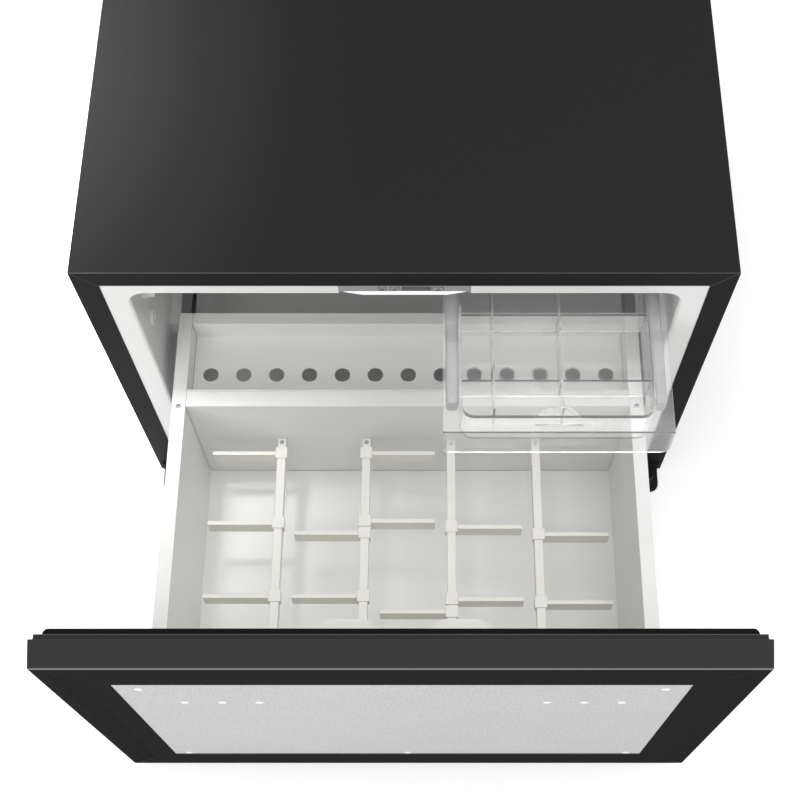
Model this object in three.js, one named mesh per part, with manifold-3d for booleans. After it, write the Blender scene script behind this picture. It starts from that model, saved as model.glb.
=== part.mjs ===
// Drawer-type hotel minibar cabinet, drawer pulled out. Millimetres, +Z up, front towards -Y.
import * as THREE from 'three';
import { mergeVertices } from 'three/addons/utils/BufferGeometryUtils.js';
import Module from 'manifold-3d';

const wasm = await Module();
wasm.setup();

// Cabinet shell
const cabinetWidth = 550;
const cabinetHeight = 420;
const cabinetDepth = 470;
const sheet = 1;
const flangeWidth = 21;
const sillHeight = 30;
const mitreGap = 0.6;
const fit = 0.3;

// White cavity
const openingWidth = 466;
const whiteBand = 15;
const openingBottom = 50;
const openingRadius = 15;
const linerSheet = 2;
const linerSetBack = 0.8;
const mouthRadius = 3;
const mouthSteps = 5;
const mouthCornerSteps = 6;
const samePoint = 1e-6;
const linerDepth = 378;
const humpFront = 270;
const humpTop = 190;
const bossRadius = 8;
const bossHollow = 4.6;
const bossHeight = 2;
const bossBack = 32;
const bossLevel = 289;
const pegRadius = 6.4;
const pegTipRadius = 5;
const pegHeight = 11;
const pegBack = 33;
const pegLevel = 334;
const padLength = 40;
const padHeight = 20;
const padInset = 60;

// Insulation and machine space
const foamFront = 10;
const foamBack = 428;
const foamWall = 30;

// Rear cover
const slotWidth = 70;
const slotHeight = 6;
const slotPitch = 14;
const slotColumns = 4;
const lowerSlotRows = 5;
const upperSlotRows = 3;
const slotGap = 24;
const lowerSlotLevel = 84;
const upperSlotDrop = 68;

// Control strip
const controlWidth = 110;
const controlHeight = 9;
const controlDepth = 8;
const controlSetBack = 1;
const controlTopGap = 1.2;
const buttonHeight = 5;
const buttonDepth = 3;
const buttonProud = 0.8;
const buttonTravel = 0.8;
const pocketSlack = 0.4;
const powerCentre = -19;
const powerWidth = 6;
const downCentre = -8;
const downWidth = 7.6;
const upCentre = 28;
const upWidth = 8.4;
const displayCentre = 10.2;
const displayWidth = 23.6;
const displayHeight = 6;
const displayDepth = 1.6;
const lampWidth = 104;
const lampTaper = 16;
const lampHeight = 5;
const lampDepth = 6.5;

// Fixing tabs at the foot of the front
const tabWidth = 18;
const tabReach = 28;
const tabSheet = 2.5;
const tabLeg = 18;
const tabInset = 4;
const tabHoleRadius = 2.6;
const tabHoleBack = 16.5;

// Side slides
const slideLength = 352;
const slideStart = 5;
const slideHeight = 27;
const slideLevel = 205.5;
const slideSheet = 1.4;
const slidePlay = 0.5;
const slideWebGap = 1;
const slideLipReach = 9;

// Drawer
const drawerTravel = 292;
const drawerWidth = 444;
const sideThickness = 13;
const boxSheet = 1.5;
const sideTop = 225;
const sideLip = 5;
const floorTop = 65;
const rearEnd = 363;
const partitionBack = 263;
const partitionFlange = 16;
const shelfDrop = 26;
const shelfLip = 12.2;
const shelfHoleRadius = 7.5;
const shelfHolePitch = 32;
const shelfHoleCount = 13;
const shelfHoleBack = 46;
const humpClear = 4;
const frontWallBack = 20;
const frontWallDrop = 62;
const lugDepth = 8.5;
const lugSheet = 3;
const lugRootInner = 21.7;
const lugRootOuter = 75;
const lugTipInner = 29;
const lugTipOuter = 60;
const lugRound = 5;

// Drawer front
const frontWidth = 537.6;
const frontHeight = 382;
const frontTopGap = 6;
const frontBarWidth = 49;
const frontBarDepth = 21.8;
const frontDraft = 1.8;
const frontChamfer = 0.9;
const grooveCount = 6;
const groovePitch = 3;
const grooveWidth = 1.6;
const grooveDepth = 0.5;
const grooveStart = 11;
const panelRecess = 0.6;
const innerPlateSheet = 4.3;
const innerPlateInset = 1.15;
const gasketInset = 6;
const gasketWidth = 14;
const gasketRadius = 2;
const gasketDepth = 6.4;
const gasketGap = 0.5;
const panelSheet = 1.6;

// Dividers
const barCount = 4;
const barWidth = 8.3;
const barHeight = 14;
const barTop = 150;
const clipLength = 11.5;
const clipSheet = 1.4;
const clipDrop = 10;
const armLength = 62;
const armThickness = 4;
const armHeight = 20;
const backRow = 247;
const middleRow = 174;
const frontRow = 101;

// Upper tray and its rails
const trayWidth = 191;
const trayInset = 10;
const trayLength = 335;
const trayDrop = 24;
const trayHeight = 41;
const traySheet = 2;
const trayRim = 14;
const trayRadius = 12;
const trayOut = 116;
const trayCross = 63;
const trayCrossCount = 3;
const trayCrossFirst = 52;
const trayWebSheet = 1.6;
const trayWebHeight = 30;
const trayFirstColumn = 43;
const traySecondColumn = 58;
const skirtRadius = 7;
const pullWidth = 40;
const pullReach = 17;
const pullStart = 7;
const pullRise = 1.6;
const railSheet = 2;
const railLip = 12;
const railStart = 37;
const railLength = 332;
const railFoot = 14;

// Cooling machine
const compressorRadius = 62;
const compressorHeight = 138;
const compressorX = 70;
const compressorFoot = 150;
const compressorFootSheet = 4;
const coilTube = 2.5;
const coilWidth = 400;
const coilPitch = 30;
const coilRuns = 6;
const coilBottom = 185;
const boxWidth = 96;
const boxDepth = 60;
const boxHeight = 80;
const boxX = -150;
const inletWidth = 28;
const inletHeight = 20;
const inletDepth = 16;
const inletLevel = 44;
const inletProud = 1.5;
const inletSocket = 10;
const evaporatorWidth = 320;
const evaporatorHeight = 120;
const evaporatorSheet = 1.8;
const evaporatorDrop = 10;

const halfWidth = cabinetWidth / 2;
const openingHalf = openingWidth / 2;
const openingTop = cabinetHeight - flangeWidth - whiteBand;
const frontTop = cabinetHeight - frontTopGap;
const frontWallTop = openingTop - frontWallDrop;
const upperSlotLevel = cabinetHeight - upperSlotDrop;
const trayTop = openingTop - trayDrop;
const trayRight = openingHalf - trayInset;
const trayLeft = trayRight - trayWidth;
const evaporatorBottom = openingTop - evaporatorDrop - evaporatorHeight;
const drawerHalf = drawerWidth / 2;
const drawerInner = drawerHalf - sideThickness;

function finish(color, roughness, metalness) {
  return new THREE.MeshStandardMaterial({ color, roughness, metalness });
}

const blackSteel = finish(0x363636, 0.45, 0.3);
const blackProfile = finish(0x2b2b2b, 0.42, 0.2);
const whiteLiner = finish(0xe8e8e6, 0.45, 0);
const whiteSheet = finish(0xf2f2f0, 0.4, 0.1);
const creamPlastic = finish(0xeeeee2, 0.5, 0);
const greyPanel = finish(0xd3d3d3, 0.5, 0.3);
const greyPlastic = finish(0x8c8d90, 0.45, 0);
const darkPlastic = finish(0x26272a, 0.3, 0);
const lampWhite = finish(0xffffff, 0.3, 0);
const gasketRubber = finish(0x1d1d1d, 0.7, 0);
const foamBeige = finish(0xe5d9b0, 0.9, 0);
const zincSteel = finish(0xb9bcc0, 0.35, 0.9);
const clearPlastic = finish(0xe4ebe8, 0.1, 0);
const blackMachine = finish(0x1c1c1e, 0.4, 0.4);

function block(x0, x1, y0, y1, z0, z1) {
  const geometry = new THREE.BoxGeometry(x1 - x0, y1 - y0, z1 - z0);
  geometry.translate((x0 + x1) / 2, (y0 + y1) / 2, (z0 + z1) / 2);
  return geometry;
}

function shapeOf(points) {
  return new THREE.Shape(points.map(([a, b]) => new THREE.Vector2(a, b)));
}

// Extrudes an (x, z) outline from y0 to y1.
function alongY(shape, y0, y1, curveSegments = 6) {
  const geometry = new THREE.ExtrudeGeometry(shape, { depth: y1 - y0, bevelEnabled: false, curveSegments });
  geometry.rotateX(Math.PI / 2);
  geometry.translate(0, y1, 0);
  return geometry;
}

// Extrudes a (y, z) outline from x0 to x1.
function alongX(shape, x0, x1, curveSegments = 6) {
  const geometry = new THREE.ExtrudeGeometry(shape, { depth: x1 - x0, bevelEnabled: false, curveSegments });
  const axes = new THREE.Matrix4();
  axes.makeBasis(new THREE.Vector3(0, 1, 0), new THREE.Vector3(0, 0, 1), new THREE.Vector3(1, 0, 0));
  geometry.applyMatrix4(axes);
  geometry.translate(x0, 0, 0);
  return geometry;
}

// Extrudes an (x, y) outline from z0 to z1.
function alongZ(shape, z0, z1, curveSegments = 6) {
  const geometry = new THREE.ExtrudeGeometry(shape, { depth: z1 - z0, bevelEnabled: false, curveSegments });
  geometry.translate(0, 0, z0);
  return geometry;
}

function roundedRect(x0, x1, z0, z1, radius) {
  const shape = new THREE.Shape();
  shape.moveTo(x0 + radius, z0);
  shape.lineTo(x1 - radius, z0);
  shape.absarc(x1 - radius, z0 + radius, radius, -Math.PI / 2, 0);
  shape.lineTo(x1, z1 - radius);
  shape.absarc(x1 - radius, z1 - radius, radius, 0, Math.PI / 2);
  shape.lineTo(x0 + radius, z1);
  shape.absarc(x0 + radius, z1 - radius, radius, Math.PI / 2, Math.PI);
  shape.lineTo(x0, z0 + radius);
  shape.absarc(x0 + radius, z0 + radius, radius, Math.PI, Math.PI * 1.5);
  return shape;
}

function upright(radius, z0, z1, x, y, segments = 16) {
  const geometry = new THREE.CylinderGeometry(radius, radius, z1 - z0, segments);
  geometry.rotateX(Math.PI / 2);
  geometry.translate(x, y, (z0 + z1) / 2);
  return geometry;
}

// Joins convex (x, y, z) rings of equal count, one behind the other along +Y, and closes both ends.
function lofted(rings) {
  const count = rings[0].length;
  const last = (rings.length - 1) * count;
  const index = [];
  for (let r = 0; r < last; r += count) {
    for (let i = 0; i < count; i += 1) {
      const a = r + i;
      const b = r + (i + 1) % count;
      index.push(a, b + count, b, a, a + count, b + count);
    }
  }
  for (let i = 1; i < count - 1; i += 1) {
    index.push(0, i, i + 1, last, last + i + 1, last + i);
  }
  const geometry = new THREE.BufferGeometry();
  geometry.setAttribute('position', new THREE.Float32BufferAttribute(rings.flat(2), 3));
  geometry.setIndex(index);
  return geometry;
}

// A round stub lying along +X from x, its radius going from root to tip.
function outward(rootRadius, tipRadius, x, length, y, z) {
  const geometry = new THREE.CylinderGeometry(tipRadius, rootRadius, length, 20);
  geometry.rotateZ(-Math.PI / 2);
  geometry.translate(x + length / 2, y, z);
  return geometry;
}

function solid(geometry) {
  const bare = geometry.clone();
  bare.deleteAttribute('normal');
  bare.deleteAttribute('uv');
  const merged = mergeVertices(bare, 1e-4);
  return new wasm.Manifold(new wasm.Mesh({
    numProp: 3,
    vertProperties: new Float32Array(merged.attributes.position.array),
    triVerts: new Uint32Array(merged.index.array),
  }));
}

function joined(...geometries) {
  return geometries.map(solid).reduce((whole, next) => whole.add(next));
}

function cut(body, ...geometries) {
  return geometries.map(solid).reduce((whole, tool) => whole.subtract(tool), body);
}

function geometryOf(body) {
  const mesh = body.getMesh();
  const geometry = new THREE.BufferGeometry();
  geometry.setAttribute('position', new THREE.BufferAttribute(mesh.vertProperties, 3));
  geometry.setIndex(new THREE.BufferAttribute(mesh.triVerts, 1));
  geometry.computeVertexNormals();
  return geometry;
}

function place(parent, name, shape, material) {
  const geometry = shape.isBufferGeometry ? shape : geometryOf(shape);
  const mesh = new THREE.Mesh(geometry, material);
  mesh.name = name;
  parent.add(mesh);
  return mesh;
}

// Local y = 0 is the front plane of the cabinet; the part's origin is the middle of its base.
const cabinet = new THREE.Group();
cabinet.position.y = -cabinetDepth / 2;

// Local y = 0 of the drawer lies in the cabinet's front plane when the drawer is shut.
const drawer = new THREE.Group();
drawer.position.y = -drawerTravel;
cabinet.add(drawer);

const tray = new THREE.Group();
tray.position.y = -trayOut;
cabinet.add(tray);

function addShell() {
  const innerEdge = halfWidth - flangeWidth;
  const top = joined(
    block(-halfWidth, halfWidth, 0, cabinetDepth, cabinetHeight - sheet, cabinetHeight),
    alongY(shapeOf([
      [-halfWidth, cabinetHeight],
      [-innerEdge, cabinetHeight - flangeWidth],
      [innerEdge, cabinetHeight - flangeWidth],
      [halfWidth, cabinetHeight],
    ]), 0, sheet),
  );
  place(cabinet, 'top_panel', top, blackSteel);

  const sideTopEdge = cabinetHeight - sheet - fit;
  for (const [name, side] of [['left_side_panel', -1], ['right_side_panel', 1]]) {
    const outline = [
      [halfWidth, 0],
      [halfWidth, sideTopEdge],
      [halfWidth - sheet - fit + mitreGap, sideTopEdge],
      [innerEdge, cabinetHeight - flangeWidth - mitreGap],
      [innerEdge, 0],
    ].map(([x, z]) => [side * x, z]);
    const edge = [side * (halfWidth - sheet), side * halfWidth].sort((a, b) => a - b);
    const plate = block(edge[0], edge[1], 0, cabinetDepth, 0, sideTopEdge);
    place(cabinet, name, joined(plate, alongY(shapeOf(outline), 0, sheet)), blackSteel);
  }

  const panHalf = halfWidth - sheet - fit;
  const sillHalf = innerEdge - fit;
  const pan = joined(
    block(-panHalf, panHalf, sheet + fit, cabinetDepth, 0, sheet),
    block(-sillHalf, sillHalf, 0, 2 * sheet, 0, sillHeight),
  );
  place(cabinet, 'base_pan', pan, blackSteel);
}

function addRearCover() {
  const half = halfWidth - sheet - fit;
  const y0 = cabinetDepth - sheet;
  const tools = [];
  const row = slotColumns * slotWidth + (slotColumns - 1) * slotGap;
  for (const [level, rows] of [[lowerSlotLevel, lowerSlotRows], [upperSlotLevel, upperSlotRows]]) {
    for (let r = 0; r < rows; r += 1) {
      for (let c = 0; c < slotColumns; c += 1) {
        const x = -row / 2 + c * (slotWidth + slotGap);
        const z = level + r * slotPitch;
        tools.push(block(x, x + slotWidth, y0 - sheet, cabinetDepth + sheet, z, z + slotHeight));
      }
    }
  }
  const inletHalf = inletWidth / 2 + fit;
  tools.push(block(
    boxX - inletHalf, boxX + inletHalf, y0 - sheet, cabinetDepth + sheet,
    inletLevel - inletHeight / 2 - fit, inletLevel + inletHeight / 2 + fit,
  ));
  const plate = block(-half, half, y0, cabinetDepth, sheet + fit, cabinetHeight - sheet - fit);
  place(cabinet, 'rear_cover', cut(solid(plate), ...tools), blackSteel);
}

// The cavity's outline grown by a margin.
function opening(margin) {
  return roundedRect(
    -openingHalf - margin, openingHalf + margin,
    openingBottom - margin, openingTop + margin, openingRadius + margin,
  );
}

// The cavity grown by a margin, from y0 to its back, with the step over the machine space left out.
function cavity(margin, y0) {
  const outline = opening(margin);
  const back = linerDepth + margin;
  const step = block(
    -cabinetWidth, cabinetWidth, humpFront + margin, cabinetDepth, -cabinetHeight, humpTop - margin,
  );
  return cut(solid(alongY(outline, y0, back)), step);
}

// The rounded mouth of the cavity: its outline widens along a quarter circle towards the front.
function mouth() {
  const rings = [];
  const ring = (margin, y) => {
    const points = opening(margin).getPoints(mouthCornerSteps);
    const apart = points.filter((p, i) => p.distanceTo(points[(i + 1) % points.length]) > samePoint);
    rings.push(apart.map((p) => [p.x, y, p.y]));
  };
  ring(mouthRadius, linerSetBack - sheet);
  for (let i = 0; i <= mouthSteps; i += 1) {
    const turn = (i / mouthSteps) * Math.PI / 2;
    ring(mouthRadius * (1 - Math.sin(turn)), linerSetBack + mouthRadius * (1 - Math.cos(turn)));
  }
  return lofted(rings);
}

function addLinerAndFoam() {
  const flangeHalf = halfWidth - flangeWidth - fit;
  const flangeBottom = sillHeight + fit;
  const flangeTop = cabinetHeight - flangeWidth - fit;
  const flange = block(
    -flangeHalf, flangeHalf, linerSetBack, linerSetBack + linerSheet, flangeBottom, flangeTop,
  );
  const notch = block(
    -controlWidth / 2 - fit, controlWidth / 2 + fit, -sheet, controlDepth + sheet,
    openingTop - openingRadius, flangeTop - controlTopGap + fit,
  );
  const collarBack = linerSetBack + linerSheet + mouthRadius;
  const collar = alongY(opening(linerSheet + mouthRadius), linerSetBack, collarBack);
  const shell = joined(flange, collar)
    .add(cavity(linerSheet, linerSetBack))
    .subtract(cavity(0, -sheet))
    .subtract(solid(mouth()));
  const root = -openingHalf - linerSheet / 2;
  const bossReach = bossHeight + linerSheet / 2;
  const boss = joined(outward(bossRadius, bossRadius, root, bossReach, bossBack, bossLevel));
  const hollow = outward(bossHollow, bossHollow, -openingHalf, 2 * bossHeight, bossBack, bossLevel);
  const peg = outward(pegRadius, pegTipRadius, root, pegHeight + linerSheet / 2, pegBack, pegLevel);
  const pads = [];
  for (const side of [-1, 1]) {
    const reach = [side * (drawerHalf + fit), side * (openingHalf + linerSheet / 2)].sort((a, b) => a - b);
    for (const y of [slideStart + padInset, slideStart + slideLength - padInset - padLength]) {
      pads.push(block(
        reach[0], reach[1], y, y + padLength, slideLevel - padHeight / 2, slideLevel + padHeight / 2,
      ));
    }
  }
  const fittings = joined(peg, ...pads).add(cut(boss, hollow));
  place(cabinet, 'inner_liner', cut(shell, notch).add(fittings), whiteLiner);

  const side = halfWidth - sheet - fit;
  const body = block(-side, side, foamFront, foamBack, sheet + fit, cabinetHeight - sheet - fit);
  const machine = block(
    -cabinetWidth, cabinetWidth, humpFront + linerSheet + foamWall, cabinetDepth,
    -cabinetHeight, humpTop - linerSheet - foamWall,
  );
  const collarRoom = alongY(opening(linerSheet + mouthRadius + fit), -sheet, collarBack + fit);
  const foam = cut(solid(body).subtract(cavity(linerSheet + fit, -sheet)), machine, collarRoom);
  place(cabinet, 'foam_insulation', foam, foamBeige);
}

function addControls() {
  const z1 = cabinetHeight - flangeWidth - fit - controlTopGap;
  const z0 = z1 - controlHeight;
  const middle = (z0 + z1) / 2;
  const face = controlSetBack;
  const pocket = (centre, width, height, depth) => block(
    centre - width / 2 - pocketSlack, centre + width / 2 + pocketSlack, face - sheet, face + depth,
    middle - height / 2 - pocketSlack, middle + height / 2 + pocketSlack,
  );
  const buttons = [
    ['power_button', powerCentre, powerWidth],
    ['down_button', downCentre, downWidth],
    ['up_button', upCentre, upWidth],
  ];
  const deep = buttonDepth - buttonProud + buttonTravel + pocketSlack;
  const housing = cut(
    solid(block(-controlWidth / 2, controlWidth / 2, face, controlDepth, z0, z1)),
    ...buttons.map(([, centre, width]) => pocket(centre, width, buttonHeight, deep)),
    pocket(displayCentre, displayWidth, displayHeight, displayDepth + fit),
  );
  place(cabinet, 'control_housing', housing, greyPlastic);
  for (const [name, centre, width] of buttons) {
    const start = face - buttonProud;
    place(cabinet, name, block(
      centre - width / 2, centre + width / 2, start, start + buttonDepth,
      middle - buttonHeight / 2, middle + buttonHeight / 2,
    ), greyPlastic);
  }
  place(cabinet, 'display_window', block(
    displayCentre - displayWidth / 2, displayCentre + displayWidth / 2, face, face + displayDepth,
    middle - displayHeight / 2, middle + displayHeight / 2,
  ), darkPlastic);

  const lens = shapeOf([
    [-lampWidth / 2, z0 - fit],
    [-lampWidth / 2 + lampTaper, z0 - fit - lampHeight],
    [lampWidth / 2 - lampTaper, z0 - fit - lampHeight],
    [lampWidth / 2, z0 - fit],
  ]);
  place(cabinet, 'lamp_lens', alongY(lens, linerSetBack, linerSetBack + lampDepth), lampWhite);
}

function addFixingTabs() {
  for (const [name, side] of [['fixing_tab_left', -1], ['fixing_tab_right', 1]]) {
    const centre = side * (halfWidth - tabInset - tabWidth / 2);
    const half = tabWidth / 2;
    const foot = new THREE.Shape();
    foot.moveTo(centre + half, -fit);
    foot.lineTo(centre - half, -fit);
    foot.lineTo(centre - half, -tabReach + half);
    foot.absarc(centre, -tabReach + half, half, Math.PI, Math.PI * 2);
    const leg = block(centre - half, centre + half, -fit - tabSheet, -fit, 0, tabLeg);
    const hole = upright(tabHoleRadius, -tabSheet, tabSheet * 2, centre, -tabReach + tabHoleBack - fit);
    place(cabinet, name, cut(joined(alongZ(foot, 0, tabSheet), leg), hole), blackSteel);
  }
}

// A channel section: the web stands at `web`, the lips reach to `tip`.
function channel(side, web, tip, halfHeight) {
  const away = Math.sign(tip - web);
  const inner = web + away * slideSheet;
  return shapeOf([
    [web, -halfHeight],
    [tip, -halfHeight],
    [tip, -halfHeight + slideSheet],
    [inner, -halfHeight + slideSheet],
    [inner, halfHeight - slideSheet],
    [tip, halfHeight - slideSheet],
    [tip, halfHeight],
    [web, halfHeight],
  ].map(([x, z]) => [side * x, slideLevel + z]));
}

function addSlides() {
  const outerWeb = drawerHalf;
  const middleWeb = outerWeb - slideSheet - slideWebGap;
  const innerWeb = drawerInner + boxSheet + fit;
  const outerHalf = slideHeight / 2;
  const middleHalf = outerHalf - slideSheet - slidePlay;
  const innerHalf = middleHalf - slideSheet - slidePlay;
  for (const [word, side] of [['left', -1], ['right', 1]]) {
    const end = slideStart + slideLength;
    const outer = channel(side, outerWeb, outerWeb - slideLipReach, outerHalf);
    place(cabinet, `slide_outer_${word}`, alongY(outer, slideStart, end), zincSteel);
    const half = drawerTravel / 2;
    const middle = channel(side, middleWeb, innerWeb + 2 * slideWebGap, middleHalf);
    place(cabinet, `slide_middle_${word}`, alongY(middle, slideStart - half, end - half), zincSteel);
    const inner = channel(side, innerWeb, middleWeb - slideSheet - slideWebGap, innerHalf);
    place(drawer, `slide_inner_${word}`, alongY(inner, slideStart, end), zincSteel);
  }
}

function addDrawerBox() {
  const start = -gasketGap - gasketDepth + fit;
  const floorBottom = floorTop - boxSheet;
  for (const [name, side] of [['drawer_side_left', -1], ['drawer_side_right', 1]]) {
    const outline = shapeOf([
      [drawerInner, floorBottom],
      [drawerInner + boxSheet, floorBottom],
      [drawerInner + boxSheet, sideTop - boxSheet],
      [drawerHalf - boxSheet, sideTop - boxSheet],
      [drawerHalf - boxSheet, sideTop - sideLip],
      [drawerHalf, sideTop - sideLip],
      [drawerHalf, sideTop],
      [drawerInner, sideTop],
    ].map(([x, z]) => [side * x, z]));
    const rear = block(
      -cabinetWidth, cabinetWidth, humpFront - humpClear, cabinetDepth, 0, humpTop + humpClear,
    );
    place(drawer, name, cut(solid(alongY(outline, start, rearEnd)), rear), whiteSheet);
  }
  const half = drawerInner - fit;
  const floor = block(-half, half, start, partitionBack - fit, floorBottom, floorTop);
  place(drawer, 'drawer_floor', floor, whiteSheet);

  const partition = shapeOf([
    [partitionBack, floorBottom],
    [partitionBack + boxSheet, floorBottom],
    [partitionBack + boxSheet, sideTop - boxSheet],
    [partitionBack + partitionFlange, sideTop - boxSheet],
    [partitionBack + partitionFlange, sideTop],
    [partitionBack, sideTop],
  ]);
  place(drawer, 'drawer_partition', alongX(partition, -half, half), whiteSheet);

  const shelfFront = partitionBack + partitionFlange + fit;
  const shelfBack = rearEnd - shelfLip;
  const shelfTop = sideTop - shelfDrop;
  const shelf = shapeOf([
    [shelfFront, shelfTop - boxSheet],
    [shelfBack + boxSheet, shelfTop - boxSheet],
    [shelfBack + boxSheet, sideTop - boxSheet],
    [rearEnd, sideTop - boxSheet],
    [rearEnd, sideTop],
    [shelfBack, sideTop],
    [shelfBack, shelfTop],
    [shelfFront + boxSheet, shelfTop],
    [shelfFront + boxSheet, sideTop],
    [shelfFront, sideTop],
  ]);
  const holes = [];
  for (let i = 0; i < shelfHoleCount; i += 1) {
    const x = (i - (shelfHoleCount - 1) / 2) * shelfHolePitch;
    const y = partitionBack + shelfHoleBack;
    holes.push(upright(shelfHoleRadius, shelfTop - 2 * boxSheet, shelfTop + boxSheet, x, y, 14));
  }
  place(drawer, 'rear_shelf', cut(solid(alongX(shelf, -half, half)), ...holes), whiteSheet);

  const lug = (side) => {
    const root = frontWallBack + boxSheet / 2;
    const tip = frontWallBack + boxSheet + lugDepth;
    const outline = new THREE.Shape();
    outline.moveTo(side * lugRootInner, root);
    outline.lineTo(side * (lugTipInner - lugRound / 2), tip - lugRound / 2);
    outline.quadraticCurveTo(side * lugTipInner, tip, side * (lugTipInner + lugRound), tip);
    outline.lineTo(side * (lugTipOuter - lugRound), tip);
    outline.quadraticCurveTo(side * lugTipOuter, tip, side * (lugTipOuter + lugRound), tip - lugRound / 2);
    outline.lineTo(side * lugRootOuter, root);
    return alongZ(outline, frontWallTop - lugSheet, frontWallTop);
  };
  const frontWall = joined(
    block(-half, half, frontWallBack, frontWallBack + boxSheet, floorTop + fit, frontWallTop),
    lug(-1),
    lug(1),
  );
  place(drawer, 'drawer_front_wall', frontWall, creamPlastic);
}

// One mitred bar of the front frame, lying along +X with its outer edge up, middle at the origin.
function frameBar(length, reach) {
  const outline = [[0, frontChamfer], [-frontChamfer, 0]];
  for (let i = 0; i < grooveCount; i += 1) {
    const from = grooveStart + i * groovePitch;
    outline.push([-from, 0], [-from - grooveWidth / 2, grooveDepth], [-from - grooveWidth, 0]);
  }
  outline.push([-frontBarWidth, 0], [-frontBarWidth, frontBarDepth], [frontDraft, frontBarDepth]);
  const profile = shapeOf(outline.map(([w, d]) => [d, w]));
  const geometry = alongX(profile, -length / 2, length / 2);
  const position = geometry.attributes.position;
  for (let i = 0; i < position.count; i += 1) {
    const depth = -position.getZ(i);
    const end = length / 2 - depth - mitreGap / 2;
    position.setX(i, Math.sign(position.getX(i)) * end);
    position.setZ(i, reach - depth);
  }
  geometry.computeVertexNormals();
  return geometry;
}

function addDrawerFront() {
  const plateBack = -gasketGap - gasketDepth;
  const plateFront = plateBack - innerPlateSheet;
  const barBack = plateFront - fit;
  const face = barBack - frontBarDepth;
  const centre = frontTop - frontHeight / 2;
  const bars = [
    ['front_frame_top', 0, frontWidth, frontHeight / 2],
    ['front_frame_right', Math.PI / 2, frontHeight, frontWidth / 2],
    ['front_frame_bottom', Math.PI, frontWidth, frontHeight / 2],
    ['front_frame_left', -Math.PI / 2, frontHeight, frontWidth / 2],
  ];
  for (const [name, turn, length, reach] of bars) {
    const mesh = place(drawer, name, frameBar(length, reach), blackProfile);
    mesh.rotation.y = turn;
    mesh.position.set(0, face, centre);
  }
  const halfX = frontWidth / 2 - frontBarWidth - fit;
  const halfZ = frontHeight / 2 - frontBarWidth - fit;
  const panelFace = face + panelRecess;
  const panelBack = panelFace + panelSheet;
  place(drawer, 'front_panel', block(
    -halfX, halfX, panelFace, panelBack, centre - halfZ, centre + halfZ,
  ), greyPanel);
  place(drawer, 'front_foam', block(
    -halfX, halfX, panelBack + fit, barBack, centre - halfZ, centre + halfZ,
  ), foamBeige);
  const plateHalfX = frontWidth / 2 - innerPlateInset;
  const plateHalfZ = frontHeight / 2 - innerPlateInset;
  place(drawer, 'front_inner_plate', block(
    -plateHalfX, plateHalfX, plateFront, plateBack, centre - plateHalfZ, centre + plateHalfZ,
  ), blackProfile);

  const sealX = frontWidth / 2 - gasketInset;
  const sealZ = frontHeight / 2 - gasketInset;
  const ring = roundedRect(-sealX, sealX, centre - sealZ, centre + sealZ, gasketRadius);
  const holeX = sealX - gasketWidth;
  const holeZ = sealZ - gasketWidth;
  ring.holes.push(roundedRect(-holeX, holeX, centre - holeZ, centre + holeZ, gasketRadius));
  place(drawer, 'gasket', alongY(ring, plateBack, plateBack + gasketDepth), gasketRubber);
}

// A saddle over a bar with one arm across the column beside it.
function addClip(name, barIndex, side, y) {
  const centre = barPlace(barIndex);
  const inner = barWidth / 2 + fit;
  const outer = inner + clipSheet;
  const top = barTop + fit + clipSheet;
  const saddle = shapeOf([
    [centre - outer, barTop - clipDrop],
    [centre - inner, barTop - clipDrop],
    [centre - inner, barTop + fit],
    [centre + inner, barTop + fit],
    [centre + inner, barTop - clipDrop],
    [centre + outer, barTop - clipDrop],
    [centre + outer, top],
    [centre - outer, top],
  ]);
  const reach = [centre + side * (inner + clipSheet / 2), centre + side * (outer + armLength)];
  reach.sort((a, b) => a - b);
  const arm = block(
    reach[0], reach[1], y - armThickness / 2, y + armThickness / 2, barTop - armHeight, barTop,
  );
  const body = joined(alongY(saddle, y - clipLength / 2, y + clipLength / 2), arm);
  place(drawer, name, body, creamPlastic);
}

function barPlace(index) {
  const pitch = 2 * drawerInner / (barCount + 1);
  return (index - (barCount + 1) / 2) * pitch;
}

function addDividers() {
  for (let i = 1; i <= barCount; i += 1) {
    const x = barPlace(i);
    place(drawer, `divider_bar_${i}`, block(
      x - barWidth / 2, x + barWidth / 2, frontWallBack + boxSheet + fit, partitionBack - fit,
      barTop - barHeight, barTop,
    ), creamPlastic);
  }
  const pair = clipLength / 2 + fit;
  addClip('divider_clip_1_back', 1, -1, backRow);
  addClip('divider_clip_1_middle', 1, -1, middleRow);
  addClip('divider_clip_1_front', 1, -1, frontRow);
  addClip('divider_clip_2_back', 2, 1, backRow);
  addClip('divider_clip_2_middle_right', 2, 1, middleRow - armThickness / 4 + pair / 2);
  addClip('divider_clip_2_middle_left', 2, -1, middleRow - armThickness / 4 - pair * 1.5);
  addClip('divider_clip_2_front', 2, -1, frontRow);
  addClip('divider_clip_3_middle', 3, 1, middleRow - armThickness);
  addClip('divider_clip_3_front_right', 3, 1, frontRow - pair / 2);
  addClip('divider_clip_3_front_left', 3, -1, frontRow - pair * 2.5);
  addClip('divider_clip_4_middle', 4, 1, middleRow - clipLength);
  addClip('divider_clip_4_front', 4, 1, frontRow - pair);
}

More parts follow.
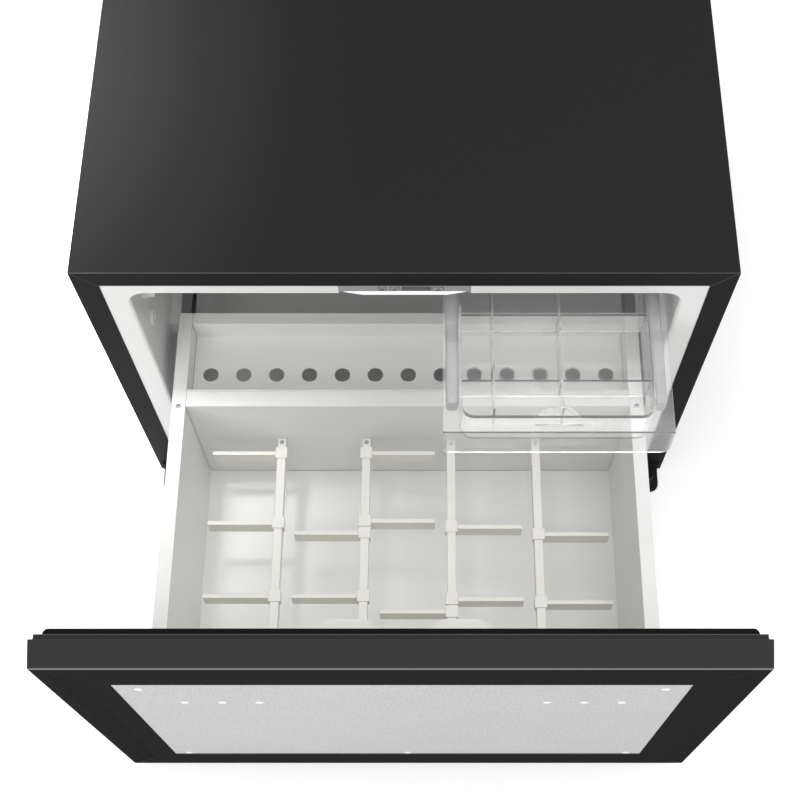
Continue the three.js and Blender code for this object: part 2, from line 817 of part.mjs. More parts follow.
function addTray() {
  const basinLeft = trayLeft + trayRim;
  const basinRight = trayRight - trayRim;
  const basinBack = trayLength - trayRim;
  const trayBottom = trayTop - trayHeight;
  const outer = alongZ(
    roundedRect(basinLeft, basinRight, trayRim, basinBack, trayRadius), trayBottom, trayTop, 4,
  );
  const inner = alongZ(roundedRect(
    basinLeft + traySheet, basinRight - traySheet, trayRim + traySheet, basinBack - traySheet,
    trayRadius - traySheet,
  ), trayBottom + traySheet, trayTop + traySheet, 4);
  const rim = alongZ(
    roundedRect(trayLeft, trayRight, 0, trayLength, traySheet), trayTop - traySheet, trayTop, 2,
  );
  const middle = (trayLeft + trayRight) / 2;
  const skirt = new THREE.Shape();
  skirt.moveTo(trayLeft, trayTop);
  skirt.lineTo(trayLeft, trayBottom + skirtRadius);
  skirt.absarc(trayLeft + skirtRadius, trayBottom + skirtRadius, skirtRadius, Math.PI, Math.PI * 1.5);
  skirt.lineTo(trayRight - skirtRadius, trayBottom);
  skirt.absarc(trayRight - skirtRadius, trayBottom + skirtRadius, skirtRadius, Math.PI * 1.5, Math.PI * 2);
  skirt.lineTo(trayRight, trayTop);
  const pull = new THREE.Shape();
  pull.absellipse(middle, pullStart, pullWidth / 2, pullReach, 0, Math.PI);
  const body = cut(joined(outer, rim), inner)
    .add(solid(alongY(skirt, 0, traySheet)))
    .add(solid(alongZ(pull, trayTop - traySheet, trayTop + pullRise, 12)));
  place(tray, 'upper_tray', body, clearPlastic);

  const floor = trayBottom + traySheet + fit;
  const webTop = floor + trayWebHeight;
  const x0 = basinLeft + traySheet + fit;
  const x1 = basinRight - traySheet - fit;
  const y0 = trayRim + trayRadius;
  const y1 = basinBack - trayRadius;
  const half = trayWebSheet / 2;
  const columns = [trayLeft + trayFirstColumn, trayLeft + trayFirstColumn + traySecondColumn];
  const webs = columns.map((x) => block(x - half, x + half, y0, y1, floor, webTop));
  for (let i = 0; i < trayCrossCount; i += 1) {
    const y = trayCrossFirst + i * trayCross;
    webs.push(block(x0, x1, y - half, y + half, floor, webTop));
  }
  place(tray, 'tray_dividers', joined(...webs), clearPlastic);
}

function addTrayRails() {
  const rimBottom = trayTop - traySheet;
  const low = rimBottom - fit - railSheet;
  const high = trayTop + fit + railSheet;
  const end = railStart + railLength;
  const leftWeb = trayLeft - fit - railSheet;
  const left = shapeOf([
    [leftWeb - railFoot, openingTop - fit - railSheet],
    [leftWeb, openingTop - fit - railSheet],
    [leftWeb, low],
    [leftWeb + railSheet + railLip, low],
    [leftWeb + railSheet + railLip, low + railSheet],
    [leftWeb + railSheet, low + railSheet],
    [leftWeb + railSheet, high - railSheet],
    [leftWeb + railSheet + railLip, high - railSheet],
    [leftWeb + railSheet + railLip, high],
    [leftWeb + railSheet, high],
    [leftWeb + railSheet, openingTop - fit],
    [leftWeb - railFoot, openingTop - fit],
  ]);
  place(cabinet, 'tray_rail_left', alongY(left, railStart, end), whiteLiner);

  const wall = openingHalf - fit;
  const tip = trayRight - railLip;
  const right = shapeOf([
    [wall, low],
    [wall, high],
    [tip, high],
    [tip, high - railSheet],
    [wall - railSheet, high - railSheet],
    [wall - railSheet, low + railSheet],
    [tip, low + railSheet],
    [tip, low],
  ]);
  place(cabinet, 'tray_rail_right', alongY(right, railStart, end), whiteLiner);
}

function addMachine() {
  const machineFront = humpFront + linerSheet + foamWall;
  const y = (machineFront + cabinetDepth - sheet) / 2;
  const foot = block(
    compressorX - compressorFoot / 2, compressorX + compressorFoot / 2,
    y - compressorRadius, y + compressorRadius, sheet + fit, sheet + fit + compressorFootSheet,
  );
  const base = sheet + fit + compressorFootSheet / 2;
  const dome = compressorHeight * 0.3;
  const profile = [new THREE.Vector2(0, base), new THREE.Vector2(compressorRadius, base)];
  const steps = 7;
  for (let i = 0; i <= steps; i += 1) {
    const turn = (i / steps) * Math.PI / 2;
    const r = i === steps ? 0 : compressorRadius * Math.cos(turn);
    profile.push(new THREE.Vector2(r, base + compressorHeight - dome + dome * Math.sin(turn)));
  }
  const can = new THREE.LatheGeometry(profile, 28);
  can.rotateX(Math.PI / 2);
  can.translate(compressorX, y, 0);
  place(cabinet, 'compressor', joined(foot, can), blackMachine);

  const path = new THREE.CurvePath();
  const coilY = foamBack + fit + coilTube;
  const bend = coilPitch / 2;
  const straight = coilWidth / 2 - bend;
  for (let i = 0; i < coilRuns; i += 1) {
    const sign = i % 2 ? -1 : 1;
    const z = coilBottom + i * coilPitch;
    const from = new THREE.Vector3(-sign * straight, coilY, z);
    const to = new THREE.Vector3(sign * straight, coilY, z);
    path.add(new THREE.LineCurve3(from, to));
    if (i < coilRuns - 1) {
      const bulge = sign * (straight + bend * 4 / 3);
      path.add(new THREE.CubicBezierCurve3(
        to,
        new THREE.Vector3(bulge, coilY, z),
        new THREE.Vector3(bulge, coilY, z + coilPitch),
        new THREE.Vector3(sign * straight, coilY, z + coilPitch),
      ));
    }
  }
  const ring = new THREE.Shape();
  ring.absarc(0, 0, coilTube, 0, Math.PI * 2);
  const coil = new THREE.ExtrudeGeometry(ring, {
    extrudePath: path, steps: coilRuns * 22, curveSegments: 4, bevelEnabled: false,
  });
  place(cabinet, 'condenser_coil', coil, blackMachine);

  const boxBack = cabinetDepth - sheet - inletDepth - fit;
  place(cabinet, 'electronics_box', block(
    boxX - boxWidth / 2, boxX + boxWidth / 2, boxBack - boxDepth, boxBack,
    sheet + fit, sheet + fit + boxHeight,
  ), greyPlastic);
  const socket = block(
    boxX - inletWidth / 2 + 2 * sheet, boxX + inletWidth / 2 - 2 * sheet,
    cabinetDepth + inletProud - inletSocket, cabinetDepth + 2 * inletProud,
    inletLevel - inletHeight / 2 + 2 * sheet, inletLevel + inletHeight / 2 - 2 * sheet,
  );
  const inlet = block(
    boxX - inletWidth / 2, boxX + inletWidth / 2, boxBack + fit, cabinetDepth + inletProud,
    inletLevel - inletHeight / 2, inletLevel + inletHeight / 2,
  );
  place(cabinet, 'mains_inlet', cut(solid(inlet), socket), darkPlastic);

  place(cabinet, 'evaporator_plate', block(
    -evaporatorWidth / 2, evaporatorWidth / 2, linerDepth - fit - evaporatorSheet, linerDepth - fit,
    evaporatorBottom, evaporatorBottom + evaporatorHeight,
  ), zincSteel);
}

addShell();
addRearCover();
addLinerAndFoam();
addControls();
addFixingTabs();
addSlides();
addDrawerBox();
addDrawerFront();
addDividers();
addTray();
addTrayRails();
addMachine();

const part = new THREE.Group();
part.name = 'minibar_cabinet';
part.add(cabinet);

export default part;
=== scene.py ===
"""Finishes for a drawer minibar cabinet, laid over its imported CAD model."""

import math

import bmesh
import bpy
import numpy as np
from bpy.props import FloatProperty, FloatVectorProperty, PointerProperty
from mathutils import Euler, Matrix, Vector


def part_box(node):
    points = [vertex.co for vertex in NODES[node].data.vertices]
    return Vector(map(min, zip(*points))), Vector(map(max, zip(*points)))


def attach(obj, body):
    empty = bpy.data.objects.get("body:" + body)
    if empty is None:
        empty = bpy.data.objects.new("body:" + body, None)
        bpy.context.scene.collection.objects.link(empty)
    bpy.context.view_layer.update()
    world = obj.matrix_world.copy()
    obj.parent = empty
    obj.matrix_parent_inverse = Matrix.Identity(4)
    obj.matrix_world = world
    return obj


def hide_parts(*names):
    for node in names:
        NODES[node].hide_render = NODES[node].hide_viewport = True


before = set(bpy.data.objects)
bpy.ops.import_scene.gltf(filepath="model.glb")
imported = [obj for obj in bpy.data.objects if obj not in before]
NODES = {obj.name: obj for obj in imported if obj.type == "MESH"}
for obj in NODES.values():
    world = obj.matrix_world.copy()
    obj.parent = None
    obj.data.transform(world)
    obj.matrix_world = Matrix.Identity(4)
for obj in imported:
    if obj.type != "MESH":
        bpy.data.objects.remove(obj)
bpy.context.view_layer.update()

bl_info = {
    "name": "Drawer Minibar Finishes",
    "version": (1, 0, 0),
    "blender": (4, 5, 0),
    "location": "View3D > Sidebar > Minibar",
    "description": "Materials and small fittings for a drawer minibar cabinet",
    "category": "Object",
}

MM = 0.001
# Points closer than this, in metres, are one point: on a CAD node, and on an added piece.
NODE_MERGE = 1e-6
PIECE_MERGE = 1e-7
# The size of a patch of even gloss.
PATCH_MM = 60
# The camera: picture size, focal length and principal point in pixels, its place in metres, and how many
# degrees it looks down.
IMAGE_WIDTH = 800
IMAGE_HEIGHT = 790
FOCAL_LENGTH = 1324.06
PRINCIPAL_X = 430.27
PRINCIPAL_Y = 419.33
CAMERA_PLACE = (0.0214, -0.7888, 1.3543)
CAMERA_DIP = 65.64
SENSOR_MM = 36


def linear(hex_colour):
    """The linear RGB of an sRGB hex colour."""
    parts = np.array([int(hex_colour[i:i + 2], 16) for i in (1, 3, 5)]) / 255
    return tuple(np.where(parts <= 0.04045, parts / 12.92, ((parts + 0.055) / 1.055) ** 2.4))


def colour_property(label, words, hex_colour):
    """A colour setting that a user can change."""
    return FloatVectorProperty(
        name=label, description=words, subtype="COLOR", size=3, min=0, max=1, default=linear(hex_colour))


def length_property(label, words, millimetres):
    """A length setting that a user can change."""
    return FloatProperty(name=label, description=words, unit="LENGTH", min=0, default=millimetres * MM)


class MinibarColours(bpy.types.PropertyGroup):
    """Colours of the cabinet's finishes."""

    steel: colour_property("Steel", "Black coated steel of the cabinet", "#262627")
    # Painted light: a paler colour for the upward faces of the cabinet steel, standing in for the light that
    # falls on them.
    steel_top_painted_light: colour_property("Steel, upper faces", "Cabinet steel under a film of dust", "#282829")
    profile: colour_property("Frame", "Black bars of the drawer front", "#29292a")
    # Painted light: a paler colour for the upward faces of the frame bars, standing in for the light that
    # falls on them.
    profile_top_painted_light: colour_property("Frame, upper faces", "Frame bars under a film of dust", "#363637")
    # Painted highlight: a pale colour for the rounded edges of the black parts, standing in for the light
    # they catch.
    edge_painted_highlight: colour_property("Worn edge", "Rubbed edges of the black parts", "#8b8b8c")
    liner: colour_property("Liner", "White moulded inner liner", "#ededec")
    sheet: colour_property("Drawer sheet", "White coated drawer box", "#ededeb")
    cream: colour_property("Dividers", "Cream moulded dividers", "#eeede5")
    panel: colour_property("Panel", "Embossed sheet of the drawer front", "#bfbfbf")
    # Painted shade: a darker colour for the dimples of the embossed sheet, standing in for the shade that
    # falls in them.
    panel_pit_painted_shade: colour_property("Panel pits", "Dimples of the embossed sheet", "#b4b4b4")
    control: colour_property("Controls", "Grey control strip", "#9b9c9e")
    rubber: colour_property("Seal", "Black seal ring", "#121212")
    plug: colour_property("Plugs", "White plugs in the panel", "#f2f2f0")
    runner: colour_property("Runners", "Grey runners of the upper tray", "#8d8f90")
    floor: colour_property("Floor", "Pale studio floor", "#f4f4f4")


class MinibarSizes(bpy.types.PropertyGroup):
    """Sizes of the small fittings."""

    edge: length_property("Sheet edge", "Rounding of folded steel edges", 0.4)
    frame_edge: length_property("Frame edge", "Rounding of the front frame's edges", 0.6)
    mould_edge: length_property("Mould edge", "Rounding of moulded edges", 0.6)
    plug_radius: length_property("Plug radius", "Radius of a panel plug", 3.3)
    plug_height: length_property("Plug height", "Height of a panel plug", 0.5)
    screw_radius: length_property("Screw radius", "Radius of a pan head", 2.3)
    screw_height: length_property("Screw height", "Height of a pan head", 1.1)
    icon_height: length_property("Icon relief", "Relief of a button mark", 0.12)


def add(tree, kind, inputs=(), **settings):
    """Adds one node, sets its fields and its input values, and links the inputs given as sockets."""
    made = tree.nodes.new(kind)
    for field, value in settings.items():
        setattr(made, field, value)
    for key, value in dict(inputs).items():
        if isinstance(value, bpy.types.NodeSocket):
            tree.links.new(value, made.inputs[key])
        else:
            made.inputs[key].default_value = value
    return made


def ramp(tree, measure, stops):
    """A colour socket that follows stops of level and colour, and stays even beyond the outer stops."""
    made = add(tree, "ShaderNodeValToRGB", {"Fac": measure})
    made.color_ramp.elements[0].color = (*stops[0][1], 1)
    made.color_ramp.elements[-1].color = (*stops[-1][1], 1)
    for level, shade in stops:
        made.color_ramp.elements.new(level).color = (*shade, 1)
    return made.outputs["Color"]


def shown(tree):
    """A socket that is one for rays that show a picture: straight, through clear walls or mirrored."""
    path = add(tree, "ShaderNodeLightPath")
    straight = add(tree, "ShaderNodeMath", {
        0: path.outputs["Is Camera Ray"], 1: path.outputs["Is Transmission Ray"]}, operation="MAXIMUM")
    mirrored = add(tree, "ShaderNodeMath", {
        0: straight.outputs[0], 1: path.outputs["Is Glossy Ray"]}, operation="MAXIMUM")
    return mirrored.outputs[0]


def surface(name, colour, roughness, spread=0.05, grain_mm=1.0, relief_mm=0.02, tilt_light_colours=(), pit_shade_colours=(),
            stretch=1.0, **sockets):
    """A material with fine relief and a slow change of gloss.

    The tilt colours follow how far a face looks up, painting a highlight onto rounded edges and light onto
    upward faces; the pit colours follow height in the grain, painting shade into its low spots;
    and the stretch makes the grain longer upwards than it is wide.
    """
    material = bpy.data.materials.new(name)
    material.use_nodes = True
    tree = material.node_tree
    shader = tree.nodes["Principled BSDF"]
    place = add(tree, "ShaderNodeTexCoord")
    drawn = add(tree, "ShaderNodeMapping", {
        "Vector": place.outputs["Object"], "Scale": (1, 1, 1 / stretch)})
    grain = add(tree, "ShaderNodeTexNoise", {
        "Vector": drawn.outputs["Vector"], "Scale": 1 / (grain_mm * MM), "Detail": 3.0})
    bump = add(tree, "ShaderNodeBump", {
        "Height": grain.outputs["Fac"], "Strength": 1.0, "Distance": relief_mm * MM})
    patch = add(tree, "ShaderNodeTexNoise", {
        "Vector": place.outputs["Object"], "Scale": 1 / (PATCH_MM * MM), "Detail": 2.0})
    gloss = add(tree, "ShaderNodeMapRange", {
        "Value": patch.outputs["Fac"], "From Min": 0.3, "From Max": 0.7,
        "To Min": roughness - spread, "To Max": roughness + spread})
    tree.links.new(bump.outputs["Normal"], shader.inputs["Normal"])
    tree.links.new(gloss.outputs["Result"], shader.inputs["Roughness"])
    shader.inputs["Base Color"].default_value = (*colour, 1)
    # The tilt colours paint a highlight onto rounded edges and light onto upward faces.
    if tilt_light_colours:
        facing = add(tree, "ShaderNodeSeparateXYZ", {"Vector": place.outputs["Normal"]})
        tree.links.new(ramp(tree, facing.outputs["Z"], tilt_light_colours), shader.inputs["Base Color"])
    # The pit colours paint shade into the low spots of the grain.
    if pit_shade_colours:
        tree.links.new(ramp(tree, grain.outputs["Fac"], pit_shade_colours), shader.inputs["Base Color"])
    for socket, value in sockets.items():
        shader.inputs[socket.replace("_", " ")].default_value = value
    return material


def edge_highlight_and_top_light(side, edge, top):
    """Colours by tilt: upright faces, then rounded edges painted pale as a highlight, then level faces
    painted paler as the light falling on them.
    """
    return (0.6, side), (0.75, edge), (0.94, edge), (0.985, top)


def dress(material, names, edge=0.0, sharpest=35):
    """Puts a material on CAD nodes and rounds their edges that turn by more than an angle in degrees."""
    for name in names:
        piece = NODES[name]
        piece.data.materials.clear()
        piece.data.materials.append(material)
        if edge:
            weld = piece.modifiers.new("weld", "WELD")
            weld.merge_threshold = NODE_MERGE
            bevel = piece.modifiers.new("edge", "BEVEL")
            bevel.width = edge
            bevel.segments = 2
            bevel.harden_normals = True
            bevel.limit_method = "ANGLE"
            bevel.angle_limit = math.radians(sharpest)


def piece_from_grids(name, grids, material, body):
    """Joins grids of points, each closed round its second index, into one piece on a body."""
    points = []
    faces = []
    start = 0
    for grid in grids:
        rows, columns = grid.shape[:2]
        index = np.arange(rows * columns).reshape(rows, columns) + start
        after = np.roll(index, -1, axis=1)
        quads = np.stack([index[:-1], after[:-1], after[1:], index[1:]], axis=-1)
        points.append(grid.reshape(-1, 3))
        faces.append(quads.reshape(-1, 4))
        start += rows * columns
    mesh = bpy.data.meshes.new(name)
    mesh.from_pydata(np.concatenate(points).tolist(), [], np.concatenate(faces).tolist())
    shape = bmesh.new()
    shape.from_mesh(mesh)
    bmesh.ops.remove_doubles(shape, verts=shape.verts, dist=PIECE_MERGE)
    bmesh.ops.recalc_face_normals(shape, faces=shape.faces)
    shape.to_mesh(mesh)
    shape.free()
    mesh.materials.append(material)
    made = bpy.data.objects.new(name, mesh)
    bpy.context.scene.collection.objects.link(made)
    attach(made, body)
    return made


def head(centre, radius, height, normal, recess=0.0):
    """A domed head turned from a table of radii and heights, with a cross sunk into its top."""
    axis = np.array(normal, float)
    side = np.cross(axis, (1, 0, 0) if abs(axis[0]) < 0.5 else (0, 1, 0))
    other = np.cross(axis, side)
    turn = np.linspace(0, 2 * math.pi, 48, endpoint=False)
    reach = np.array([0, 1, 1, 0.96, 0.85, 0.66, 0.6, 0.5, 0.35, 0.2, 0.0])[:, None] * radius
    lift = np.array([0, 0, 0.35, 0.55, 0.74, 0.88, 0.92, 0.95, 0.98, 1.0, 1.0])[:, None] * height
    half_arm = 0.16 * radius
    arm_end = 0.62 * radius
    first_crown_row = 5
    arm = np.minimum(np.abs(np.sin(turn)), np.abs(np.cos(turn)))[None, :] * reach < half_arm
    sunk = arm & (reach < arm_end) & (np.arange(len(reach))[:, None] >= first_crown_row)
    lift = np.broadcast_to(lift, sunk.shape) - recess * sunk
    flat = reach[..., None] * (np.cos(turn)[None, :, None] * side + np.sin(turn)[None, :, None] * other)
    return np.array(centre) + flat + lift[..., None] * axis


def mark(outline, face_y, relief):
    """A raised outline mark: a band from an (x, z) outline to 0.55 of its size, carried towards the front."""
    ring = np.array(outline, float)
    middle = ring.mean(axis=0)
    inner = middle + (ring - middle) * 0.55
    flat = np.stack([inner, ring, ring, inner, inner])
    depth = np.array([face_y, face_y, face_y - relief, face_y - relief, face_y])
    return np.stack([flat[..., 0], np.broadcast_to(depth[:, None], flat.shape[:2]), flat[..., 1]], axis=-1)


def runner(middle_x, front_y, bottom_z):
    """A runner bar: a rounded rectangle carried along y, pinched at both ends and swollen at a stop pad.

    The swelling follows half a sine wave along the pad.
    """
    half_width, half_height, middle_height = 5.6, 10, 23
    pad_start, pad_end, pad_swell = 58, 100, 1.4
    turn = np.linspace(0, 2 * math.pi, 32, endpoint=False)
    # A superellipse of the fourth power gives the rounded rectangle.
    wide = np.sign(np.cos(turn)) * np.abs(np.cos(turn)) ** 0.5
    tall = np.sign(np.sin(turn)) * np.abs(np.sin(turn)) ** 0.5
    along = np.concatenate([
        [32, 32], np.linspace(35, 55, 3), np.linspace(pad_start, pad_end, 15), [103, 310, 316, 318, 318]])
    size = np.ones(len(along))
    size[[0, -1]] = 0.0
    size[[1, -2]] = 0.8
    on_pad = (along >= pad_start) & (along <= pad_end)
    swell = np.where(on_pad, np.sin(math.pi * (along - pad_start) / (pad_end - pad_start)), 0)
    x = middle_x + size[:, None] * wide * half_width * MM
    z = bottom_z + (middle_height + size[:, None] * tall * (half_height + pad_swell * swell[:, None])) * MM
    y = front_y + np.broadcast_to(along[:, None], x.shape) * MM
    return np.stack([x, y, z], axis=-1)


class MINIBAR_OT_shell(bpy.types.Operator):
    """Coats the cabinet's steel panels and fixing tabs, and adds the tabs' screws"""

    bl_idname = "minibar.shell"
    bl_label = "Cabinet shell"

    def execute(self, context):
        colours = context.scene.minibar_colours
        sizes = context.scene.minibar_sizes
        # Powder-coated steel, sprayed and baked: dull black with a faint orange peel; its rounded edges carry
        # a painted highlight and its upward faces carry painted light.
        coat = surface("powder_coated_steel_black", colours.steel,
                       roughness=0.42, spread=0.03, grain_mm=1.4, relief_mm=0.008,
                       tilt_light_colours=edge_highlight_and_top_light(colours.steel, colours.edge_painted_highlight, colours.steel_top_painted_light),
                       Specular_IOR_Level=0.015)
        dress(coat, ["top_panel", "left_side_panel", "right_side_panel", "rear_cover", "base_pan",
                     "fixing_tab_left", "fixing_tab_right"], sizes.edge)
        # Black-oxide screw steel: dark, with an oily sheen.
        oxide = surface("black_oxide_screw", linear("#2b2b2d"),
                        roughness=0.35, spread=0.05, grain_mm=0.8, relief_mm=0.004, Metallic=1.0)
        grids = []
        for name in ("fixing_tab_left", "fixing_tab_right"):
            low, high = (np.array(corner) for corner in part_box(name))
            centre = ((low[0] + high[0]) / 2, high[1] - 11.5 * MM, low[2] + 2.5 * MM)
            grids.append(head(centre, 4.4 * MM, 1.8 * MM, (0, 0, 1), recess=0.7 * MM))
        piece_from_grids("fixing_tab_screws", grids, oxide, "cabinet")
        return {"FINISHED"}


class MINIBAR_OT_liner(bpy.types.Operator):
    """Finishes the moulded liner, the tray rails and the foam"""

    bl_idname = "minibar.liner"
    bl_label = "Liner and rails"

    def execute(self, context):
        colours = context.scene.minibar_colours
        # Thermoformed ABS: smooth white with a soft gloss.
        abs_white = surface("thermoformed_abs_white", colours.liner,
                            roughness=0.34, spread=0.05, grain_mm=6.0, relief_mm=0.01)
        dress(abs_white, ["inner_liner"])
        dress(abs_white, ["tray_rail_left", "tray_rail_right"], 0.4 * MM)
        # Polyurethane foam: pale, open and dull, hidden between the skins.
        foam = surface("polyurethane_foam", linear("#e3d7ae"),
                       roughness=0.9, spread=0.05, grain_mm=2.0, relief_mm=0.2)
        dress(foam, ["foam_insulation", "front_foam"])
        return {"FINISHED"}


class MINIBAR_OT_drawer_front(bpy.types.Operator):
    """Finishes the drawer front: mitred bars, embossed sheet, plugs and inner plate"""

    bl_idname = "minibar.drawer_front"
    bl_label = "Drawer front"

    def execute(self, context):
        colours = context.scene.minibar_colours
        sizes = context.scene.minibar_sizes
        # Anodised aluminium bar: dull even black; its rounded edges carry a painted highlight and its upper
        # faces carry painted light.
        anodised = surface("anodised_aluminium_black", colours.profile,
                           roughness=0.5, spread=0.04, grain_mm=0.9, relief_mm=0.02,
                           tilt_light_colours=edge_highlight_and_top_light(colours.profile, colours.edge_painted_highlight, colours.profile_top_painted_light),
                           Specular_IOR_Level=0.0)
        # The bars' fine grooves stay sharp: only edges that turn by more than 70 degrees are rounded.
        dress(anodised, ["front_frame_top", "front_frame_bottom", "front_frame_left", "front_frame_right"],
              sizes.frame_edge, sharpest=70)
        dress(anodised, ["front_inner_plate"], sizes.edge)
        # Stucco-embossed coated sheet: pale grey, rolled with shallow dimples about 2 mm wide and 7 mm long,
        # which are painted darker as shade.
        stucco = surface("stucco_embossed_sheet", colours.panel,
                         roughness=0.45, spread=0.04, grain_mm=1.8, relief_mm=0.25,
                         pit_shade_colours=((0.38, colours.panel_pit_painted_shade), (0.58, colours.panel)), stretch=4.0,
                         Specular_IOR_Level=0.12)
        dress(stucco, ["front_panel"])
        # Polyethylene plugs: soft white caps pressed into the panel's holes.
        cap = surface("polyethylene_plug_white", colours.plug,
                      roughness=0.45, spread=0.04, grain_mm=1.0, relief_mm=0.006)
        low, high = (np.array(corner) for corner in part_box("front_panel"))
        centre = (low + high) / 2
        # Each plug's place is its distance from the panel's middle line and from its top or bottom edge.
        spots = [(side * x, high[2] - down * MM) for side in (-1, 1)
                 for x, down in ((201.5, 16), (173.7, 62), (143.9, 62), (114.3, 62))]
        spots += [(x, low[2] + 4.6 * MM) for x in (-206, 0, 206)]
        grids = [head((centre[0] + x * MM, low[1], z), sizes.plug_radius, sizes.plug_height, (0, -1, 0))
                 for x, z in spots]
        piece_from_grids("panel_plugs", grids, cap, "drawer")
        return {"FINISHED"}


class MINIBAR_OT_seal(bpy.types.Operator):
    """Makes the ribbed seal ring on the drawer front's inner plate"""

    bl_idname = "minibar.seal"
    bl_label = "Seal ring"

    def execute(self, context):
        colours = context.scene.minibar_colours
        # Soft PVC seal: dull black with a faint bloom.
        pvc = surface("soft_pvc_seal_black", colours.rubber,
                      roughness=0.6, spread=0.06, grain_mm=1.2, relief_mm=0.01, Specular_IOR_Level=0.04)
        low, high = (np.array(corner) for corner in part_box("gasket"))
        centre = (low + high) / 2
        half = (high - low) / 2
        width = 14 * MM
        depth = high[1] - low[1]
        valley = 0.35
        points = 25
        # The path is the gasket's outline with mitred corners.
        corner = np.array([(-1, -1), (1, -1), (1, 1), (-1, 1), (-1, -1)], float)
        # The section is a flat foot with two round ribs: height follows the rectified sine of the width.
        ribs = np.abs(np.sin(np.linspace(0, 2 * math.pi, points)))
        across = np.append(np.linspace(0, 1, points), 0.5)
        rise = np.append(valley + (1 - valley) * ribs, 0.0)
        rise[[0, points - 1]] = 0.0
        flat = corner[:, None, :] * (half[[0, 2]] - across[None, :, None] * width)
        grid = np.stack([
            centre[0] + flat[..., 0],
            low[1] + np.broadcast_to(rise * depth, flat.shape[:2]),
            centre[2] + flat[..., 1]], axis=-1)
        seal = piece_from_grids("seal_ring", [grid], pvc, "drawer")
        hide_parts("gasket")
        return {"FINISHED"}


class MINIBAR_OT_drawer_box(bpy.types.Operator):
    """Finishes the drawer box, its slides, its screws and the evaporator plate"""

    bl_idname = "minibar.drawer_box"
    bl_label = "Drawer box"

    def execute(self, context):
        colours = context.scene.minibar_colours
        sizes = context.scene.minibar_sizes
        # Powder-coated sheet: clean white with a fine orange peel.
        white = surface("powder_coated_sheet_white", colours.sheet,
                        roughness=0.4, spread=0.04, grain_mm=1.6, relief_mm=0.01)
        dress(white, ["drawer_side_left", "drawer_side_right", "drawer_floor", "drawer_partition",
                      "rear_shelf"], sizes.edge)
        # Zinc-plated steel: cold-rolled and bright, slightly clouded.
        zinc = surface("zinc_plated_slide", linear("#a9abae"),
                       roughness=0.33, spread=0.08, grain_mm=1.0, relief_mm=0.006, Metallic=1.0)
        dress(zinc, ["slide_outer_left", "slide_outer_right", "slide_middle_left", "slide_middle_right",
                     "slide_inner_left", "slide_inner_right", "evaporator_plate"])
        grids = []
        partition_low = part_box("drawer_partition")[0]
        for name in ("drawer_side_left", "drawer_side_right"):
            low, high = (np.array(corner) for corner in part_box(name))
            centre = ((low[0] + high[0]) / 2, partition_low[1], high[2])
            grids.append(head(centre, sizes.screw_radius, sizes.screw_height, (0, 0, 1), recess=0.6 * MM))
        # The screws in the divider bars are nearly flush, so that the clips pass over them.
        for number in range(1, 5):
            low, high = (np.array(corner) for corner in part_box(f"divider_bar_{number}"))
            centre = ((low[0] + high[0]) / 2, high[1] - 4.2 * MM, high[2])
            grids.append(head(centre, 2.2 * MM, 0.2 * MM, (0, 0, 1), recess=0.15 * MM))
        piece_from_grids("drawer_screws", grids, zinc, "drawer")
        return {"FINISHED"}


class MINIBAR_OT_dividers(bpy.types.Operator):
    """Finishes the divider bars, their sliding clips and the front wall"""

    bl_idname = "minibar.dividers"
    bl_label = "Dividers"

    def execute(self, context):
        colours = context.scene.minibar_colours
        sizes = context.scene.minibar_sizes
        # Injection-moulded polypropylene: warm cream with a faint waxy gloss.
        cream = surface("moulded_polypropylene_cream", colours.cream,
                        roughness=0.46, spread=0.05, grain_mm=0.8, relief_mm=0.008,
                        Subsurface_Weight=0.05, Subsurface_Scale=0.002)
        names = sorted(name for name in NODES if name.startswith("divider_"))
        dress(cream, names, sizes.mould_edge)
        dress(cream, ["drawer_front_wall"], sizes.edge)
        return {"FINISHED"}


class MINIBAR_OT_tray(bpy.types.Operator):
    """Finishes the clear tray and its divider grid, and adds its runners"""

    bl_idname = "minibar.tray"
    bl_label = "Clear tray"

    def execute(self, context):
        colours = context.scene.minibar_colours
        # Injection-moulded clear polystyrene: glassy, faintly milky, with slight moulding waves.
        clear = surface("moulded_polystyrene_clear", linear("#ffffff"),
                        roughness=0.06, spread=0.03, grain_mm=12.0, relief_mm=0.03,
                        Transmission_Weight=0.95, IOR=1.45)
        tree = clear.node_tree
        path = add(tree, "ShaderNodeLightPath")
        # Clear walls let most light through, so they cast only a faint shadow.
        shade = add(tree, "ShaderNodeMapRange", {
            "Value": path.outputs["Is Shadow Ray"], "To Min": 1.0, "To Max": 0.12})
        tree.links.new(shade.outputs["Result"], tree.nodes["Principled BSDF"].inputs["Alpha"])
        dress(clear, ["upper_tray", "tray_dividers"], 0.5 * MM)
        # Moulded acetal runner: mid grey, smooth and slightly waxy.
        acetal = surface("moulded_acetal_grey", colours.runner,
                         roughness=0.4, spread=0.04, grain_mm=1.0, relief_mm=0.006)
        low, high = (np.array(corner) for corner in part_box("upper_tray"))
        inset = 7.9 * MM
        grids = [runner(x, low[1], low[2]) for x in (low[0] + inset, high[0] - inset)]
        piece_from_grids("tray_runners", grids, acetal, "tray")
        return {"FINISHED"}


